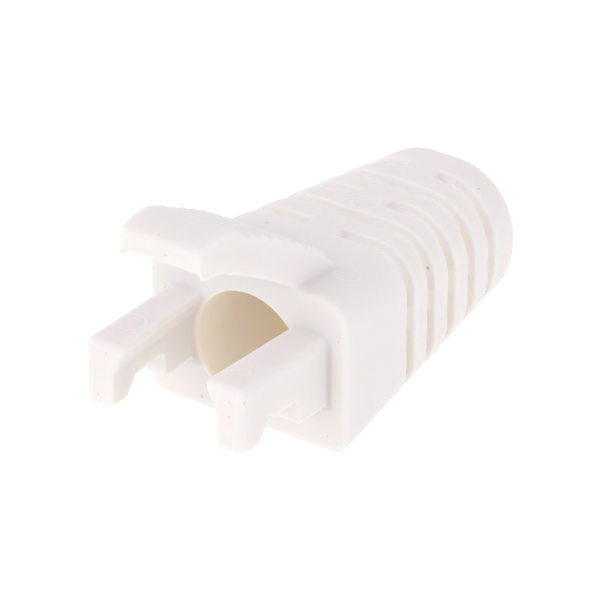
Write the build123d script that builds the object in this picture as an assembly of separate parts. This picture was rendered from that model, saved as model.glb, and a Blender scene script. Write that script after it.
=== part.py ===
from build123d import *
import math
import os

# Snap-in strain relief boot for a modular cable plug, moulded in one piece.
# X runs across the boot, Y from the plug end back along the cable, Z up from the flat
# underside. The parts are drawn from the middle of the plug face's lower edge, and the
# finished boot is moved so that the origin is under the middle of its length.

# Shell: a square block at the plug that thins to a rounder tail
block_width = 12.0
block_height = 8.45
block_top_radius = 1.5
block_bottom_radius = 0.85
tail_width = 8.42
tail_height = 7.8
tail_top_radius = 3.6
tail_bottom_radius = 3.85
shell_length = 17.55
plug_edge_radius = 0.22
tail_edge_radius = 0.65
underside_trim = 0.02

# Cable bore: a slight funnel from the plug face, then straight to the tail
bore_height = 4.08
bore_mouth_diameter = 6.3
bore_diameter = 5.9
funnel_length = 6.0
bore_lead_in = 0.1

# Flex grooves round the tail
groove_count = 5
first_groove = 6.1
groove_pitch = 2.1
groove_width = 0.8
groove_floor_wall = 0.45
bridge_width = 1.9
side_web_height = 1.1
side_web_centre = 4.5
side_web_depth = 0.45

# Latch guard: a ribbed tongue that rises forward from the top of the block
guard_root_half_width = 3.0
guard_tip_half_width = 2.83
guard_side_draft = 5.0
guard_root_back = 3.45
guard_reach = 7.05
guard_tip_height = 13.25
guard_nose_radius = 0.45
guard_side_radius = 0.3
guard_skin = 0.005
guard_root_sink = 0.15
guard_underside_step = 0.05
guard_underside_bow = 0.14
guard_lip_width = 0.52
guard_lip_drop = 1.42
channel_drop = 1.05
channel_run_out = 0.4

# Points of the guard's profile, each set back from its tip and above or below the tip's height
guard_crest = (1.45, 0.33)
guard_crest_end = (2.55, 0.21)
guard_lip_end = (1.55, -1.65)
first_valley = (3.7, -0.69)

# Finger ribs across the guard's ramp, half-round with sharp valleys
rib_valleys = 8
last_valley_back = 2.75
last_valley_rise = 0.57
valley_bow = 0.25
rib_rise = 0.27
brow_rise = 0.19

# Latch arms: two hooks that grip the plug, toed in a little towards their tips
arm_top = 6.42
arm_setback = 0.15
arm_reach = guard_reach - arm_setback
arm_root_outer = 4.87
arm_tip_outer = 4.83
arm_root_top_inner = 2.58
arm_tip_top_inner = 2.31
arm_root_low_inner = 3.35
arm_tip_low_inner = 3.1
arm_root_slant_foot = 5.0
arm_tip_slant_foot = 4.8
arm_outer_edge_radius = 0.45
arm_inner_edge_radius = 0.2

# Side profile of an arm, as depths below its top
wedge_depth = 3.85
wedge_length = 2.4
wedge_round = 0.2
gap_depth = 2.45
gap_round = 0.4
hook_depth = 3.6
hook_heel_length = 2.05
hook_toe_length = 1.15
hook_round = 0.4

overshoot = 2.0


def span(start, end, share):
    return start + (end - start) * share


def shell_width(depth):
    return span(block_width, tail_width, depth / shell_length)


def shell_height(depth):
    return span(block_height, tail_height, depth / shell_length)


def shell_section(depth):
    share = depth / shell_length
    width = shell_width(depth)
    height = shell_height(depth) + underside_trim
    middle = height / 2 - underside_trim
    plane = Plane(origin=(0, depth, middle), x_dir=(1, 0, 0), z_dir=(0, -1, 0))
    outline = Rectangle(width, height)
    upper = outline.vertices().group_by(Axis.Y)[-1]
    outline = fillet(upper, span(block_top_radius, tail_top_radius, share))
    lower = outline.vertices().group_by(Axis.Y)[0]
    outline = fillet(lower, span(block_bottom_radius, tail_bottom_radius, share))
    return plane * outline


def shell_blank():
    blank = loft([shell_section(0), shell_section(shell_length)])
    plug_rim = blank.faces().sort_by(Axis.Y)[0].edges()
    blank = fillet(plug_rim, plug_edge_radius)
    tail_rim = blank.faces().sort_by(Axis.Y)[-1].edges()
    blank = fillet(tail_rim, tail_edge_radius)
    size = 4 * shell_length
    return blank - Pos(0, 0, -size / 2) * Box(size, size, size)


def bore_radius(depth):
    if depth >= funnel_length:
        return bore_diameter / 2
    return span(bore_mouth_diameter, bore_diameter, depth / funnel_length) / 2


def cable_bore():
    mouth = bore_radius(0)
    lip = mouth + bore_lead_in
    outline = Polyline(
        (0, -overshoot),
        (lip, -overshoot),
        (lip, 0),
        (mouth, bore_lead_in),
        (bore_diameter / 2, funnel_length),
        (bore_diameter / 2, shell_length - bore_lead_in),
        (bore_diameter / 2 + bore_lead_in, shell_length),
        (bore_diameter / 2 + bore_lead_in, shell_length + overshoot),
        (0, shell_length + overshoot),
        close=True,
    )
    bore = revolve(make_face(outline), Axis.Y)
    return Pos(0, 0, bore_height) * bore


def slab(depth, width):
    size = 2 * block_width
    return Pos(0, depth + width / 2, bore_height) * Box(size, width, size)


def flex_groove(index):
    front = first_groove + index * groove_pitch
    middle = front + groove_width / 2
    cutter = slab(front, groove_width)
    floor_radius = bore_radius(front) + groove_floor_wall
    floor = Rot(90, 0, 0) * Cylinder(floor_radius, 2 * groove_width)
    cutter -= Pos(0, middle, bore_height) * floor
    web_width = shell_width(middle) - 2 * side_web_depth
    cutter -= Pos(0, middle, side_web_centre) * Box(web_width, 2 * groove_width, side_web_height)
    if index % 2 == 0:
        cutter -= Pos(0, middle, bore_height) * Box(bridge_width, 2 * groove_width, 3 * block_height)
    return cutter


def guard_point(place):
    setback, rise = place
    return (setback - guard_reach, guard_tip_height + rise)


def valley_point(index):
    share = index / (rib_valleys - 1)
    first_back, first_height = guard_point(first_valley)
    last_height = shell_height(last_valley_back) + last_valley_rise
    back = span(first_back, last_valley_back, share)
    height = span(first_height, last_height, share)
    return (back, height + valley_bow * 4 * share * (1 - share))


def rib_crest(start, end, rise):
    length = math.dist(start, end)
    middle = ((start[0] + end[0]) / 2, (start[1] + end[1]) / 2)
    normal = ((start[1] - end[1]) / length, (end[0] - start[0]) / length)
    return (middle[0] + normal[0] * rise, middle[1] + normal[1] * rise)


def guard_profile():
    valleys = [valley_point(index) for index in range(rib_valleys)]
    foot = (guard_root_back, shell_height(guard_root_back))
    tip = (-guard_reach, guard_tip_height)
    crest_end = guard_point(guard_crest_end)
    lip_end = guard_point(guard_lip_end)
    under_start = block_height - guard_root_sink
    under_back = (0, block_height + guard_underside_step)
    under_middle = rib_crest(lip_end, under_back, guard_underside_bow)
    with BuildSketch(Plane.YZ) as profile:
        with BuildLine():
            ThreePointArc(tip, guard_point(guard_crest), crest_end)
            ThreePointArc(crest_end, rib_crest(crest_end, valleys[0], brow_rise), valleys[0])
            for start, end in zip(valleys, valleys[1:] + [foot]):
                rise = rib_rise * math.dist(start, end) / math.dist(valleys[0], valleys[1])
                ThreePointArc(start, rib_crest(start, end, rise), end)
            Polyline(foot, (guard_root_back, under_start), (0, under_start), under_back)
            ThreePointArc(under_back, under_middle, lip_end)
            Polyline(lip_end, (-guard_reach, guard_tip_height - guard_lip_drop), tip)
        make_face()
        nose = profile.vertices().sort_by(Axis.X)[0:2].sort_by(Axis.Y)[-1]
        fillet(nose, guard_nose_radius)
    return profile.sketch


def guard_envelope():
    valleys = [valley_point(index) for index in range(rib_valleys)]
    crests = [rib_crest(start, end, rib_rise + guard_skin) for start, end in zip(valleys, valleys[1:])]
    front = -guard_reach - guard_skin
    tip = (front, guard_tip_height + guard_skin)
    crest_y, crest_z = guard_point(guard_crest)
    end_y, end_z = guard_point(guard_crest_end)
    crest_end = (end_y, end_z + guard_skin)
    foot = (guard_root_back + guard_skin, shell_height(guard_root_back))
    low = block_height - guard_root_sink
    with BuildSketch(Plane.YZ) as profile:
        with BuildLine():
            ThreePointArc(tip, (crest_y, crest_z + guard_skin), crest_end)
            ThreePointArc(crest_end, crests[len(crests) // 2], crests[-1])
            Polyline(crests[-1], foot, (foot[0], low), (front, low), tip)
        make_face()
        nose = profile.vertices().sort_by(Axis.X)[0:2].sort_by(Axis.Y)[-1]
        fillet(nose, guard_nose_radius)
    block = extrude(profile.sketch, 2 * guard_root_half_width, both=True) & guard_plan()
    for side in (0, -1):
        edges = block.faces().sort_by(Axis.X)[side].edges()
        edges = edges.sort_by(Axis.Z)[1:].sort_by(Axis.Y)[:-1]
        block = fillet(edges, guard_side_radius)
    return block


def guard_plan():
    wide = guard_root_half_width
    narrow = guard_tip_half_width
    end = -guard_reach - overshoot
    lean = (wide - narrow) / guard_reach
    tip_half = wide + lean * end
    outline = Polyline(
        (-tip_half, end),
        (tip_half, end),
        (wide, 0),
        (wide, guard_root_back + overshoot),
        (-wide, guard_root_back + overshoot),
        (-wide, 0),
        close=True,
    )
    base = Pos(0, 0, block_height - guard_root_sink) * make_face(outline)
    return extrude(base, 2 * block_height, taper=guard_side_draft)


def guard_channel():
    half_width = guard_tip_half_width - guard_lip_width
    lip_back, lip_height = guard_point(guard_lip_end)
    roof = guard_tip_height - channel_drop
    lower = lip_height - overshoot
    with BuildSketch(Plane.YZ) as profile:
        with BuildLine():
            Polyline(
                (-guard_reach - overshoot, lower),
                (-guard_reach - overshoot, roof),
                (lip_back - channel_run_out, roof),
                (lip_back, lip_height),
                (lip_back, lower),
                close=True,
            )
        make_face()
    return extrude(profile.sketch, half_width, both=True)


def latch_guard():
    tongue = extrude(guard_profile(), 2 * guard_root_half_width, both=True) & guard_envelope()
    return tongue - guard_channel()


def arm_section(depth, share):
    outer = span(arm_root_outer, arm_tip_outer, share)
    top_inner = span(arm_root_top_inner, arm_tip_top_inner, share)
    low_inner = span(arm_root_low_inner, arm_tip_low_inner, share)
    slant_foot = span(arm_root_slant_foot, arm_tip_slant_foot, share)
    bottom = arm_top - wedge_depth - overshoot / 4
    plane = Plane(origin=(0, depth, 0), x_dir=(1, 0, 0), z_dir=(0, -1, 0))
    outline = Polyline(
        (outer, bottom),
        (outer, arm_top),
        (top_inner, arm_top),
        (low_inner, slant_foot),
        (low_inner, bottom),
        close=True,
    )
    return plane * make_face(outline)


def arm_profile():
    root = overshoot
    with BuildSketch(Plane.YZ) as profile:
        with BuildLine():
            Polyline(
                (root, arm_top),
                (-arm_reach, arm_top),
                (-arm_reach, arm_top - hook_depth),
                (hook_toe_length - arm_reach, arm_top - hook_depth),
                (hook_heel_length - arm_reach, arm_top - gap_depth),
                (-wedge_length, arm_top - gap_depth),
                (-wedge_length, arm_top - wedge_depth),
                (root, arm_top - wedge_depth),
                close=True,
            )
        make_face()
        ceiling = arm_top - gap_depth
        fillet(profile.vertices().filter_by_position(Axis.Y, ceiling - 0.01, ceiling + 0.01), gap_round)
        wedge_corner = profile.vertices().group_by(Axis.Y)[0].sort_by(Axis.X)[0]
        fillet(wedge_corner, wedge_round)
    return profile.sketch


def latch_arm():
    root_depth = overshoot
    past = root_depth / arm_reach
    bar = loft([arm_section(-arm_reach, 1), arm_section(root_depth, -past)], ruled=True)
    arm = bar & extrude(arm_profile(), 2 * block_width, both=True)
    nose = arm.faces().sort_by(Axis.Y)[0].edges()
    outer_edge = arm.faces().sort_by(Axis.Z)[-1].edges().sort_by(Axis.X)[-1]
    nose_side = nose.filter_by(Axis.Z).sort_by(Axis.X)[-1]
    arm = fillet([outer_edge, nose.sort_by(Axis.Z)[-1], nose_side], arm_outer_edge_radius)
    inner_edge = arm.faces().filter_by(Axis.Z).sort_by(Axis.Z)[-1].edges().sort_by(Axis.X)[0]
    arm = fillet(inner_edge, arm_inner_edge_radius)
    hook_end = arm.faces().filter_by(Axis.Z).sort_by(Axis.Y)[0]
    return fillet(hook_end.edges(), hook_round)


def boot():
    body = shell_blank()
    arm = latch_arm()
    body += arm
    body += mirror(arm, Plane.YZ)
    body += latch_guard()
    body -= cable_bore()
    for index in range(groove_count):
        body -= flex_groove(index)
    middle = (shell_length - guard_reach) / 2
    return Pos(0, -middle, 0) * body


os.makedirs("parts", exist_ok=True)
part = boot()
part.label = "boot"
export_step(part, "parts/boot.step")
print("solids", len(part.solids()), "volume", round(part.volume, 1), "valid", part.is_valid)
print("box", part.bounding_box())
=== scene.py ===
import math

import bmesh
import bpy
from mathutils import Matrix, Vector


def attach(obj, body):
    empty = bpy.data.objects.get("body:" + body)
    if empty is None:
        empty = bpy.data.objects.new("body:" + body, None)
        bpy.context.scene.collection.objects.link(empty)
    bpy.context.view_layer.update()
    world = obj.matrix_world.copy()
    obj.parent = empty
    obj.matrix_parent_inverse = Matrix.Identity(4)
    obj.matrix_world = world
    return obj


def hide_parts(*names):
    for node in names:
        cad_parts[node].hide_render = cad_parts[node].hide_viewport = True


# Camera, measured from the photograph: where it looks from, and what its middle looks at
VIEW_AZIMUTH = math.radians(35.75)
VIEW_ELEVATION = math.radians(28.9)
VIEW_DISTANCE = 0.303
FOCAL_LENGTH = 364.3
SENSOR_WIDTH = 36.0
AIM = Vector((0.0, -0.00025, 0.004))
AIM_LEFT = 0.000321
AIM_UP = 0.00061
NEAREST_SEEN = 0.01
FARTHEST_SEEN = 10.0

# Main sizes of the boot, in metres, as the solid has them; y runs from the plug end to the
# tail and z up from the underside
BORE_HEIGHT = 0.00408
SHELL_FRONT = -0.00525
SHELL_BACK = 0.0123
SHELL_LENGTH = SHELL_BACK - SHELL_FRONT
LAST_GROOVE_BACK = 0.01005
BLOCK_HALF_WIDTH = 0.006
BLOCK_HALF_HEIGHT = 0.004225
BLOCK_CORNER = 0.0015
TAIL_HALF_WIDTH = 0.00421
TAIL_HALF_HEIGHT = 0.0039
TAIL_CORNER = 0.0036

# Soft moulded plastic: its white, its sheen and how far light spreads under its surface
PLASTIC_COLOUR = (0.84, 0.812, 0.792, 1.0)
PLASTIC_ROUGHNESS = 0.5
PLASTIC_GLOSS = 0.3
SCATTER_WEIGHT = 0.75
SCATTER_RADIUS = (1.0, 0.68, 0.42)
SCATTER_SCALE = 0.0011
GRAIN_SCALE = 2600.0
GRAIN_DETAIL = 3.0
GRAIN_STRENGTH = 0.12
GRAIN_HEIGHT = 0.00003

# Painted warm light in the bore, a tint and a glow, from the axis out to its wall and up to its
# rims
BORE_PAINTED_TINT = (0.985, 0.905, 0.802, 1.0)
BORE_PAINTED_GLOW = (0.025, 0.014, 0.005, 1.0)
BORE_WARM_FULL = 0.0032
BORE_WARM_END = 0.00335
RIM_FADE = 0.0001

# Painted warm light in the flex grooves, a tint and a glow by depth under the skin; the painted
# light is paler at the shell's top
GROOVE_PAINTED_TINT = (0.94, 0.895, 0.845, 1.0)
GROOVE_PAINTED_GLOW = (0.13, 0.114, 0.094, 1.0)
GROOVE_WARM_START = 0.00015
GROOVE_WARM_FULL = 0.001
GROOVE_LIGHT_STRENGTH = 0.8
END_FADE_START = 0.0002
END_FADE_FULL = 0.0006
# Painted light for the grooves' shallow tops: a paler, cooler tint and glow
TOP_GROOVE_PAINTED_TINT = (0.95, 0.94, 0.93, 1.0)
TOP_GROOVE_PAINTED_GLOW = (0.175, 0.185, 0.2, 1.0)
TOP_GROOVE_START = 0.0055
TOP_GROOVE_FULL = 0.0072

# Faint shade where the arms grow out of the block's front face
CREASE_TINT = (0.52, 0.4, 0.31, 1.0)
CREASE_DEPTH = 0.3
CREASE_WIDTH = 0.00045
CREASE_TOP_START = 0.0054
CREASE_TOP_END = 0.0065
CREASE_LENGTH = 0.00022
ARM_MIDDLE = (0.00374, 0.0045)
ARM_HALF_SIZE = (0.00114, 0.00193)

# Moulding's mesh: an even grid, softened edges, and then fewer faces
MERGE_DISTANCE = 0.000002
GRID_SIZE = 0.0001
SOFT_EDGE_PASSES = 2
SOFT_EDGE_SHARE = 0.5
KEPT_SHARE = 0.5

# Shallow ring marks of the ejector pins: middle across, middle along, height over which
# each shows, and radius
PIN_MARKS = (
    (0.0039, -0.0023, 0.0070, 0.00065),
    (0.0001, 0.0048, 0.0068, 0.00072),
    (-0.0039, -0.0096, 0.0060, 0.0008),
    (0.00356, -0.01032, 0.0060, 0.0003),
)
PIN_LINE = 0.0001
PIN_HEIGHT = 0.00002
PIN_TINT = (0.93, 0.92, 0.92, 1.0)
PIN_LIGHTNESS = 0.35

# Small dark specks and scuffs from the mould: place, radius, and how dark each is
SPECKS = (
    ((0.00457, 0.00376, 0.0062), 0.00012, 0.51),
    ((0.00296, 0.0106, 0.00723), 0.00010, 0.34),
    ((0.00032, -0.0123, 0.01265), 0.00008, 0.27),
    ((-0.0003, -0.01194, 0.01338), 0.00008, 0.2),
    ((-0.0017, -0.0123, 0.01221), 0.00010, 0.17),
    ((-0.00244, -0.00017, 0.00826), 0.00010, 0.24),
    ((-0.00345, -0.01215, 0.0059), 0.00012, 0.14),
    ((-0.00399, -0.01215, 0.00348), 0.00008, 0.27),
    ((-0.00281, -0.00525, 0.00056), 0.00010, 0.34),
    ((0.00485, -0.00677, 0.00259), 0.00009, 0.31),
    ((0.00398, -0.01215, 0.00569), 0.00014, 0.1),
    ((0.00398, -0.01215, 0.00486), 0.00010, 0.17),
    ((0.00474, -0.01196, 0.0058), 0.00009, 0.24),
    ((0.00485, -0.00525, 0.00085), 0.00008, 0.27),
    ((0.00549, -0.00525, 0.00636), 0.00008, 0.24),
)
SPECK_COLOUR = (0.2, 0.16, 0.14, 1.0)
SPECK_CORE = 0.45

BLACK = (0.0, 0.0, 0.0, 1.0)
WHITE = (1.0, 1.0, 1.0, 1.0)

# Pale floor, lit from within a little so that it is as white as the background
FLOOR_SIZE = 1.2
FLOOR_DROP = 0.00002
FLOOR_COLOUR = (0.2, 0.2, 0.2, 1.0)
FLOOR_ROUGHNESS = 0.9
FLOOR_GLOW = 0.84

# Studio light: an even white tent, a little dimmer and cooler overhead
TENT_SIDES = (0.98, 0.99, 1.025, 1.0)
TENT_TOP = (0.77, 0.755, 0.815, 1.0)
TENT_TURN_START = 0.1
TENT_TURN_END = 0.95


def new_material(name):
    material = bpy.data.materials.new(name)
    material.use_nodes = True
    return material, material.node_tree.nodes, material.node_tree.links


def maths(tree, operation, first, second=None, third=None):
    node = tree.nodes.new("ShaderNodeMath")
    node.operation = operation
    for socket, value in zip(node.inputs, (first, second, third)):
        if value is None:
            continue
        if isinstance(value, (int, float)):
            socket.default_value = value
        else:
            tree.links.new(value, socket)
    return node.outputs[0]


def band(tree, value, start, end, low=0.0, high=1.0):
    node = tree.nodes.new("ShaderNodeMapRange")
    node.interpolation_type = "SMOOTHSTEP"
    node.inputs["From Min"].default_value = start
    node.inputs["From Max"].default_value = end
    node.inputs["To Min"].default_value = low
    node.inputs["To Max"].default_value = high
    tree.links.new(value, node.inputs["Value"])
    return node.outputs["Result"]


def axis_distance(tree, first, second, first_middle, second_middle):
    across = maths(tree, "SUBTRACT", first, first_middle)
    along = maths(tree, "SUBTRACT", second, second_middle)
    across_square = maths(tree, "MULTIPLY", across, across)
    along_square = maths(tree, "MULTIPLY", along, along)
    return maths(tree, "SQRT", maths(tree, "ADD", across_square, along_square))


def tapered(tree, share, start, end):
    return maths(tree, "MULTIPLY_ADD", share, end - start, start)


# How deep a point lies under the shell's skin, whose section tapers from block to tail
def skin_depth(tree, across, along, height):
    from_front = maths(tree, "SUBTRACT", along, SHELL_FRONT)
    share = maths(tree, "MULTIPLY", from_front, 1.0 / SHELL_LENGTH)
    half_width = tapered(tree, share, BLOCK_HALF_WIDTH, TAIL_HALF_WIDTH)
    half_height = tapered(tree, share, BLOCK_HALF_HEIGHT, TAIL_HALF_HEIGHT)
    corner = tapered(tree, share, BLOCK_CORNER, TAIL_CORNER)
    side = maths(tree, "SUBTRACT", maths(tree, "ABSOLUTE", across), half_width)
    side = maths(tree, "ADD", side, corner)
    rise = maths(tree, "ABSOLUTE", maths(tree, "SUBTRACT", height, half_height))
    rise = maths(tree, "ADD", maths(tree, "SUBTRACT", rise, half_height), corner)
    side_out = maths(tree, "MAXIMUM", side, 0.0)
    rise_out = maths(tree, "MAXIMUM", rise, 0.0)
    beyond = axis_distance(tree, side_out, rise_out, 0.0, 0.0)
    within = maths(tree, "MINIMUM", maths(tree, "MAXIMUM", side, rise), 0.0)
    return maths(tree, "SUBTRACT", maths(tree, "SUBTRACT", corner, beyond), within)


# Share of the painted warm light in the bore
def painted_bore_light(tree, across, along, height):
    reach = axis_distance(tree, across, height, 0.0, BORE_HEIGHT)
    inside = band(tree, reach, BORE_WARM_FULL, BORE_WARM_END, 1.0, 0.0)
    front_end = band(tree, along, SHELL_FRONT - RIM_FADE, SHELL_FRONT)
    back_end = band(tree, along, SHELL_BACK, SHELL_BACK + RIM_FADE, 1.0, 0.0)
    return maths(tree, "MULTIPLY", inside, maths(tree, "MULTIPLY", front_end, back_end))


# Share of the painted warm light in the grooves, by depth under the skin
def painted_groove_light(tree, across, along, height):
    depth = skin_depth(tree, across, along, height)
    inside = band(tree, depth, GROOVE_WARM_START, GROOVE_WARM_FULL, 0.0, GROOVE_LIGHT_STRENGTH)
    front_end = band(tree, along, SHELL_FRONT + END_FADE_START, SHELL_FRONT + END_FADE_FULL)
    fade_start = LAST_GROOVE_BACK + END_FADE_START
    back_end = band(tree, along, fade_start, fade_start + END_FADE_FULL, 1.0, 0.0)
    return maths(tree, "MULTIPLY", inside, maths(tree, "MULTIPLY", front_end, back_end))


def arm_root_crease(tree, across, along, height):
    beyond = []
    for place, middle, half in zip((across, height), ARM_MIDDLE, ARM_HALF_SIZE):
        offset = maths(tree, "SUBTRACT", maths(tree, "ABSOLUTE", place), middle)
        outside = maths(tree, "SUBTRACT", maths(tree, "ABSOLUTE", offset), half)
        beyond.append(maths(tree, "MAXIMUM", outside, 0.0))
    distance = axis_distance(tree, beyond[0], beyond[1], 0.0, 0.0)
    beside = band(tree, distance, 0.0, CREASE_WIDTH, CREASE_DEPTH, 0.0)
    below_top = band(tree, height, CREASE_TOP_START, CREASE_TOP_END, 1.0, 0.0)
    beside = maths(tree, "MULTIPLY", beside, below_top)
    gap = maths(tree, "ABSOLUTE", maths(tree, "SUBTRACT", along, SHELL_FRONT))
    return maths(tree, "MULTIPLY", beside, band(tree, gap, 0.0, CREASE_LENGTH, 1.0, 0.0))


def blend_colours(tree, share, first, second):
    node = tree.nodes.new("ShaderNodeMix")
    node.data_type = "RGBA"
    tree.links.new(share, node.inputs["Factor"])
    for socket, colour in ((node.inputs["A"], first), (node.inputs["B"], second)):
        if isinstance(colour, tuple):
            socket.default_value = colour
        else:
            tree.links.new(colour, socket)
    return node.outputs["Result"]


def pin_ring(tree, across, along, height, mark):
    middle_across, middle_along, lowest, radius = mark
    distance = axis_distance(tree, across, along, middle_across, middle_along)
    offset = maths(tree, "ABSOLUTE", maths(tree, "SUBTRACT", distance, radius))
    line = band(tree, offset, PIN_LINE / 2, PIN_LINE, 1.0, 0.0)
    above = maths(tree, "GREATER_THAN", height, lowest)
    return maths(tree, "MULTIPLY", line, above)


def speck_cover(tree, place):
    cover = 0.0
    for middle, radius, darkness in SPECKS:
        distance = tree.nodes.new("ShaderNodeVectorMath")
        distance.operation = "DISTANCE"
        tree.links.new(place, distance.inputs[0])
        distance.inputs[1].default_value = middle
        speck = band(tree, distance.outputs["Value"], SPECK_CORE * radius, radius, darkness, 0.0)
        cover = maths(tree, "MAXIMUM", speck, cover)
    return cover


def plastic_material():
    material, nodes, links = new_material("white_soft_plastic")
    tree = material.node_tree
    shader = nodes["Principled BSDF"]
    shader.inputs["Roughness"].default_value = PLASTIC_ROUGHNESS
    shader.inputs["Specular IOR Level"].default_value = PLASTIC_GLOSS
    shader.inputs["Subsurface Weight"].default_value = SCATTER_WEIGHT
    shader.inputs["Subsurface Radius"].default_value = SCATTER_RADIUS
    shader.inputs["Subsurface Scale"].default_value = SCATTER_SCALE
    place = nodes.new("ShaderNodeTexCoord")
    split = nodes.new("ShaderNodeSeparateXYZ")
    links.new(place.outputs["Object"], split.inputs["Vector"])
    across, along, height = split.outputs["X"], split.outputs["Y"], split.outputs["Z"]

    # Painted light: a tint and a glow stand in for light that comes through the wall, which makes
    # the bore and the grooves' depths warm and the shallow tops of the grooves paler
    bore = painted_bore_light(tree, across, along, height)
    groove = painted_groove_light(tree, across, along, height)
    # Painted light: the grooves' painted glow and tint turn paler towards the shell's top
    top = band(tree, height, TOP_GROOVE_START, TOP_GROOVE_FULL)
    painted_groove_glow = blend_colours(tree, top, GROOVE_PAINTED_GLOW, TOP_GROOVE_PAINTED_GLOW)
    painted_groove_tint = blend_colours(tree, top, GROOVE_PAINTED_TINT, TOP_GROOVE_PAINTED_TINT)
    glow = blend_colours(tree, groove, BLACK, painted_groove_glow)
    links.new(blend_colours(tree, bore, glow, BORE_PAINTED_GLOW), shader.inputs["Emission Color"])
    shader.inputs["Emission Strength"].default_value = 1.0
    colour = blend_colours(tree, groove, PLASTIC_COLOUR, painted_groove_tint)
    colour = blend_colours(tree, bore, colour, BORE_PAINTED_TINT)
    crease = arm_root_crease(tree, across, along, height)
    colour = blend_colours(tree, crease, colour, CREASE_TINT)
    rings = 0.0
    for mark in PIN_MARKS:
        rings = maths(tree, "ADD", pin_ring(tree, across, along, height, mark), rings)
    colour = blend_colours(tree, maths(tree, "MULTIPLY", rings, PIN_LIGHTNESS), colour, PIN_TINT)
    colour = blend_colours(tree, speck_cover(tree, place.outputs["Object"]), colour, SPECK_COLOUR)
    links.new(colour, shader.inputs["Base Color"])

    grain = nodes.new("ShaderNodeTexNoise")
    grain.inputs["Scale"].default_value = GRAIN_SCALE
    grain.inputs["Detail"].default_value = GRAIN_DETAIL
    links.new(place.outputs["Object"], grain.inputs["Vector"])
    bump = nodes.new("ShaderNodeBump")
    bump.inputs["Strength"].default_value = GRAIN_STRENGTH
    bump.inputs["Distance"].default_value = GRAIN_HEIGHT
    links.new(grain.outputs["Fac"], bump.inputs["Height"])
    marks = nodes.new("ShaderNodeBump")
    marks.inputs["Strength"].default_value = 1.0
    marks.inputs["Distance"].default_value = PIN_HEIGHT
    links.new(rings, marks.inputs["Height"])
    links.new(bump.outputs["Normal"], marks.inputs["Normal"])
    links.new(marks.outputs["Normal"], shader.inputs["Normal"])
    return material


def build_boot(solid):
    mesh = solid.data.copy()
    mesh.name = "boot_moulding"
    mesh.materials.clear()
    work = bmesh.new()
    work.from_mesh(mesh)
    bmesh.ops.remove_doubles(work, verts=work.verts, dist=MERGE_DISTANCE)
    work.to_mesh(mesh)
    work.free()
    moulding = bpy.data.objects.new("boot_moulding", mesh)
    bpy.context.scene.collection.objects.link(moulding)
    moulding.matrix_world = solid.matrix_world.copy()
    grid = moulding.modifiers.new("even_grid", "REMESH")
    grid.mode = "VOXEL"
    grid.voxel_size = GRID_SIZE
    grid.use_smooth_shade = True
    softening = moulding.modifiers.new("soft_edges", "SMOOTH")
    softening.factor = SOFT_EDGE_SHARE
    softening.iterations = SOFT_EDGE_PASSES
    thinning = moulding.modifiers.new("fewer_faces", "DECIMATE")
    thinning.decimate_type = "COLLAPSE"
    thinning.ratio = KEPT_SHARE
    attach(moulding, "root")
    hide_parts("boot")
    return moulding


def floor_material():
    material, nodes, _ = new_material("studio_floor")
    shader = nodes["Principled BSDF"]
    shader.inputs["Base Color"].default_value = FLOOR_COLOUR
    shader.inputs["Roughness"].default_value = FLOOR_ROUGHNESS
    shader.inputs["Emission Color"].default_value = WHITE
    shader.inputs["Emission Strength"].default_value = FLOOR_GLOW
    return material


def build_floor():
    mesh = bpy.data.meshes.new("floor")
    sheet = bmesh.new()
    bmesh.ops.create_grid(sheet, x_segments=1, y_segments=1, size=FLOOR_SIZE / 2)
    sheet.to_mesh(mesh)
    sheet.free()
    floor = bpy.data.objects.new("floor", mesh)
    bpy.context.scene.collection.objects.link(floor)
    floor.location.z = -FLOOR_DROP
    mesh.materials.append(floor_material())


def soft_light(name, azimuth, elevation, distance, size, power):
    light = bpy.data.lights.new(name, "AREA")
    light.shape = "DISK"
    light.size = size
    light.energy = power
    lamp = bpy.data.objects.new(name, light)
    bpy.context.scene.collection.objects.link(lamp)
    turn = math.radians(azimuth)
    rise = math.radians(elevation)
    level = math.cos(rise)
    way = Vector((math.sin(turn) * level, -math.cos(turn) * level, math.sin(rise)))
    lamp.location = AIM + way * distance
    lamp.rotation_mode = "QUATERNION"
    lamp.rotation_quaternion = (-way).to_track_quat("-Z", "Y")


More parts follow.
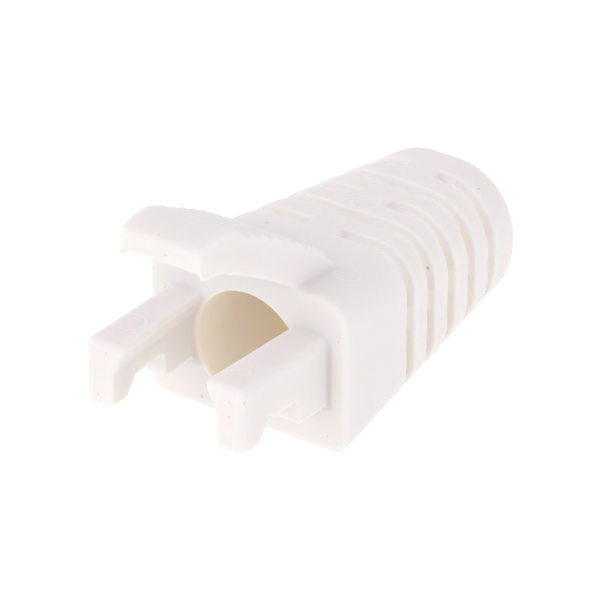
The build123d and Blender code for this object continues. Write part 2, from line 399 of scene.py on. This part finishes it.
def studio_light():
    world = bpy.data.worlds.new("studio")
    bpy.context.scene.world = world
    world.use_nodes = True
    nodes = world.node_tree.nodes
    links = world.node_tree.links
    place = nodes.new("ShaderNodeTexCoord")
    parts = nodes.new("ShaderNodeSeparateXYZ")
    links.new(place.outputs["Generated"], parts.inputs["Vector"])
    overhead = band(world.node_tree, parts.outputs["Z"], TENT_TURN_START, TENT_TURN_END)
    tint = blend_colours(world.node_tree, overhead, TENT_SIDES, TENT_TOP)
    links.new(tint, nodes["Background"].inputs["Color"])
    soft_light("left_softbox", azimuth=-30, elevation=38, distance=0.6, size=0.5, power=0.5)
    soft_light("front_softbox", azimuth=35, elevation=30, distance=0.6, size=0.3, power=0.12)


def place_camera():
    level = math.cos(VIEW_ELEVATION)
    forward = Vector((
        -math.sin(VIEW_AZIMUTH) * level,
        math.cos(VIEW_AZIMUTH) * level,
        -math.sin(VIEW_ELEVATION),
    ))
    right = Vector((math.cos(VIEW_AZIMUTH), math.sin(VIEW_AZIMUTH), 0.0))
    up = right.cross(forward)
    data = bpy.data.cameras.new("camera")
    data.sensor_width = SENSOR_WIDTH
    data.lens = FOCAL_LENGTH
    data.clip_start = NEAREST_SEEN
    data.clip_end = FARTHEST_SEEN
    camera = bpy.data.objects.new("camera", data)
    bpy.context.scene.collection.objects.link(camera)
    camera.rotation_mode = "QUATERNION"
    camera.rotation_quaternion = forward.to_track_quat("-Z", "Y")
    camera.location = AIM - right * AIM_LEFT + up * AIM_UP - forward * VIEW_DISTANCE
    bpy.context.scene.camera = camera


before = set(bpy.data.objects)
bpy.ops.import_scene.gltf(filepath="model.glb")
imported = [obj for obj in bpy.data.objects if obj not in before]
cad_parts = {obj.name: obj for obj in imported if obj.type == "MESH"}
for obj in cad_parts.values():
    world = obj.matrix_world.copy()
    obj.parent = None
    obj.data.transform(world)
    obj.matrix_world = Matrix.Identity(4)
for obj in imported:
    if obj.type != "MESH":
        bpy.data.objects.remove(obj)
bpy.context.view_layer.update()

boot = build_boot(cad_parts["boot"])
boot.data.materials.append(plastic_material())

build_floor()
studio_light()
place_camera()
bpy.context.scene.view_settings.view_transform = "Standard"
